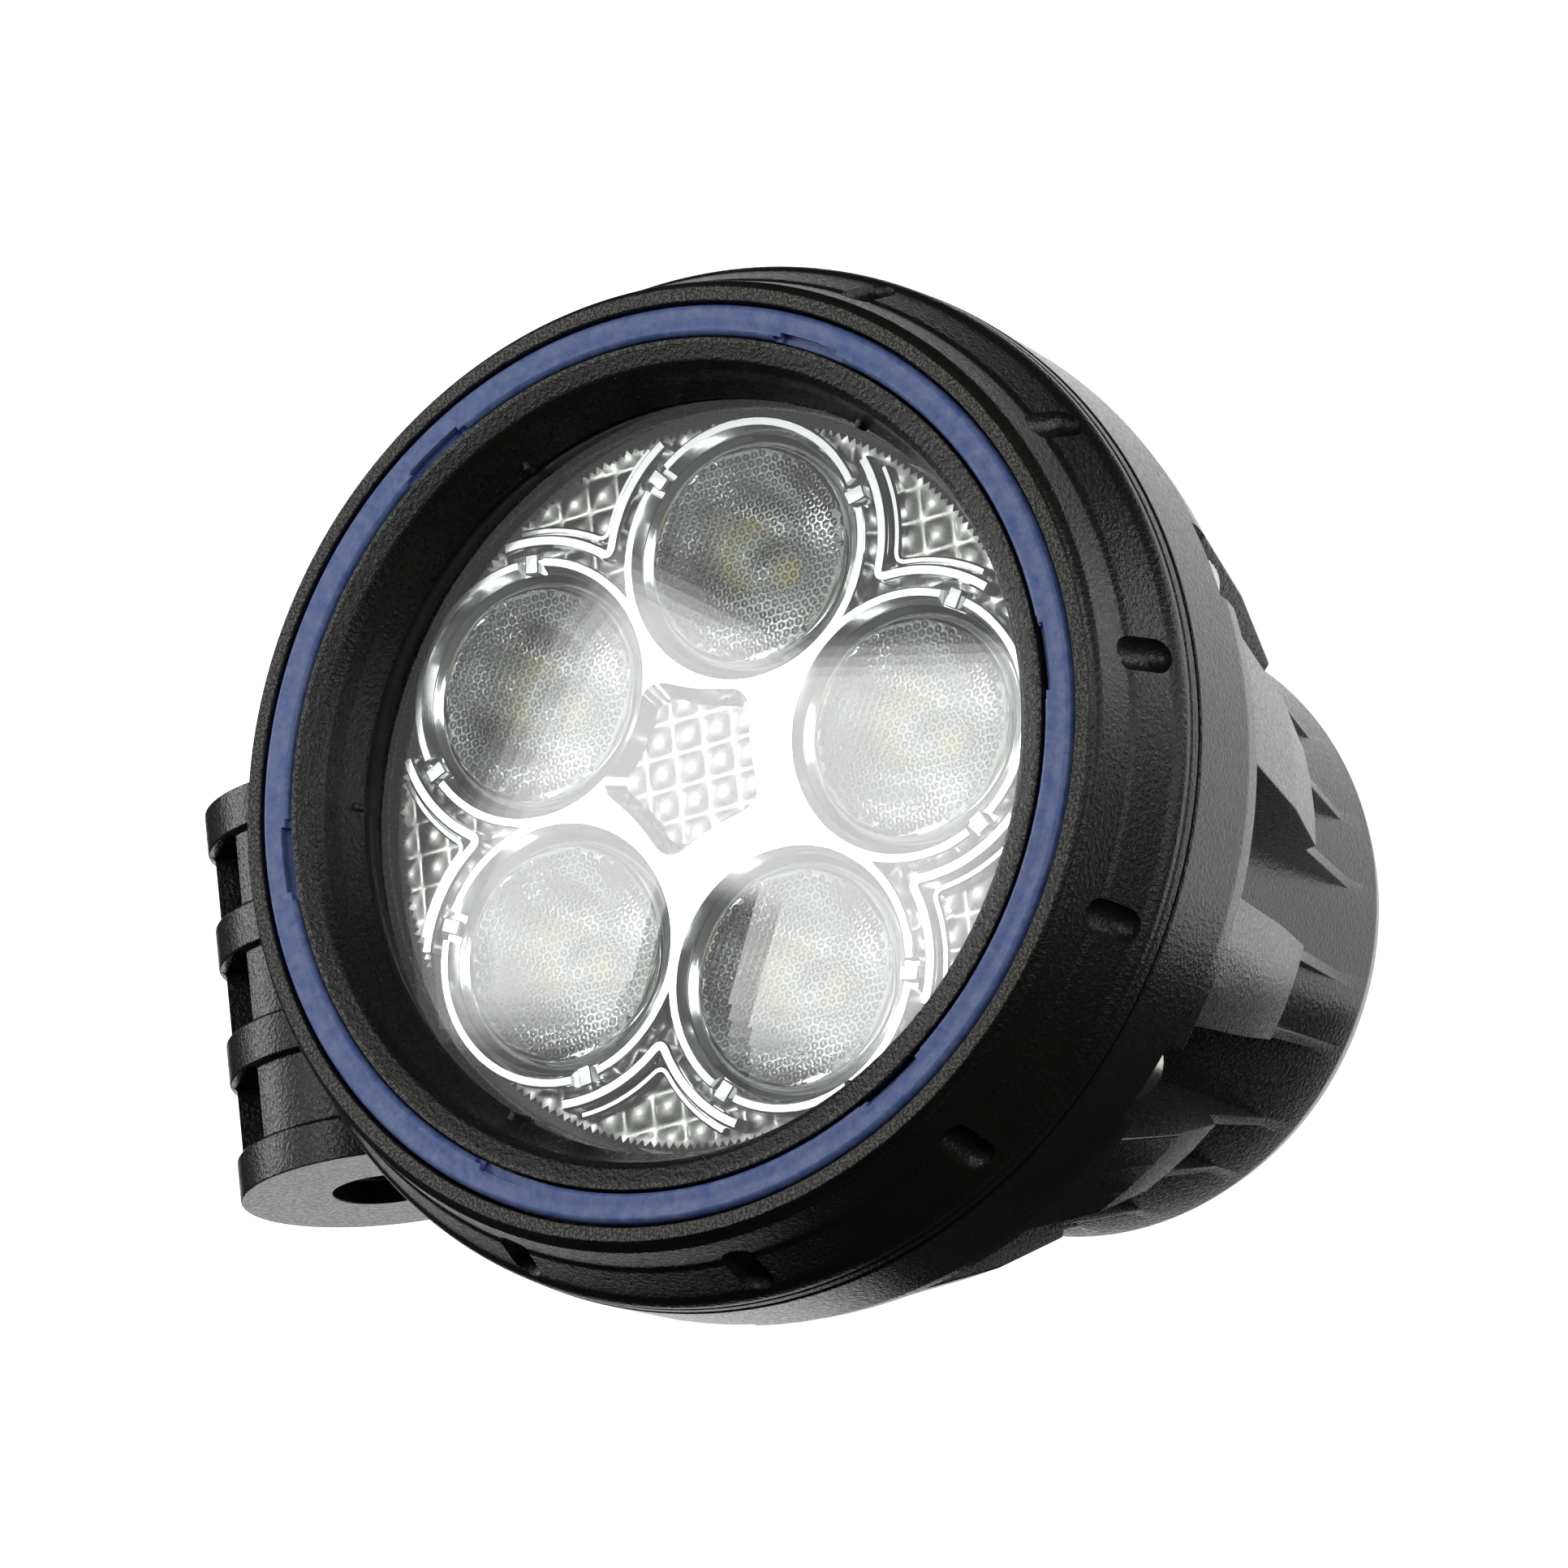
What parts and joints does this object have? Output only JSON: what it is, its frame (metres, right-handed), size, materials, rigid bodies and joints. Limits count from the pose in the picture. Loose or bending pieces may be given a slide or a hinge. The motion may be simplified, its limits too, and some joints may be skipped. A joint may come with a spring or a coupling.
{
  "type": "underwater pond light",
  "caption": "Round underwater spotlight with LED collimators behind glass, a blue trim ring, a finned black housing and a pivot barrel for its bracket.",
  "frame": {"origin": "centre of the flat rear face of the housing", "axes": "+Z along the lamp's optical axis, out of the window; -Y from the lamp's axis to its pivot barrel; X along the pivot bore"},
  "size_m": [0.1034, 0.1303, 0.0946],
  "materials": {
    "housing": "black moulded plastic with a fine spark-eroded grain",
    "bezel": "black moulded plastic, grained pads between smoother bands",
    "colour_ring": "satin blue moulded trim ring",
    "glass": "clear flat window glass, polished",
    "lens": "clear moulded optic with a honeycomb face",
    "carrier": "clear moulded plate with facets, over a white board",
    "rubber": "black silicone rubber",
    "stainless": "plain stainless steel, knurled heads",
    "aluminium": "machined aluminium",
    "board": "white solder mask",
    "driver": "green solder mask",
    "phosphor": "yellow phosphor under a silicone dome",
    "thermal_pad": "grey gap-filler pad",
    "capacitor": "dark shrink sleeve",
    "copper": "enamelled copper winding",
    "gland": "black moulded nylon",
    "sleeve": "dark acetal"
  },
  "bodies": {
    "lamp_head": {"front_bezel": "bezel", "window_glass": "glass", "window_seal": "rubber", "housing_seal": "rubber", "lens_carrier": "carrier", "collimator_lens_1": "lens", "collimator_lens_2": "lens", "collimator_lens_3": "lens", "collimator_lens_4": "lens", "collimator_lens_5": "lens", "led_emitter_1": "phosphor", "led_emitter_2": "phosphor", "led_emitter_3": "phosphor", "led_emitter_4": "phosphor", "led_emitter_5": "phosphor", "led_board": "board", "thermal_pad": "thermal_pad", "heat_spreader": "aluminium", "board_screw_1": "stainless", "board_screw_2": "stainless", "board_screw_3": "stainless", "board_screw_4": "stainless", "board_screw_5": "stainless", "rear_housing": "housing", "bezel_screw_1": "stainless", "bezel_screw_2": "stainless", "bezel_screw_3": "stainless", "bezel_screw_4": "stainless", "bezel_screw_5": "stainless", "bezel_screw_6": "stainless", "driver_board": "driver", "driver_screw_1": "stainless", "driver_screw_2": "stainless", "driver_screw_3": "stainless", "driver_choke": "copper", "driver_capacitor_1": "capacitor", "driver_capacitor_2": "capacitor", "gland_body": "gland", "gland_seal": "rubber", "gland_nut": "gland"},
    "colour_ring": {"colour_ring": "colour_ring"},
    "pivot_sleeve": {"pivot_sleeve": "sleeve"}
  },
  "joints": [
    {"name": "colour_ring_lift", "type": "slide", "parent": "lamp_head", "child": "colour_ring", "axis": [0, 0, 1], "range_m": [0, 0.02]},
    {"name": "pivot_tilt", "type": "hinge", "parent": "lamp_head", "child": "pivot_sleeve", "pos_m": [0, -0.0635, 0.0459], "axis": [1, 0, 0], "range_deg": [-90, 90]}
  ]
}
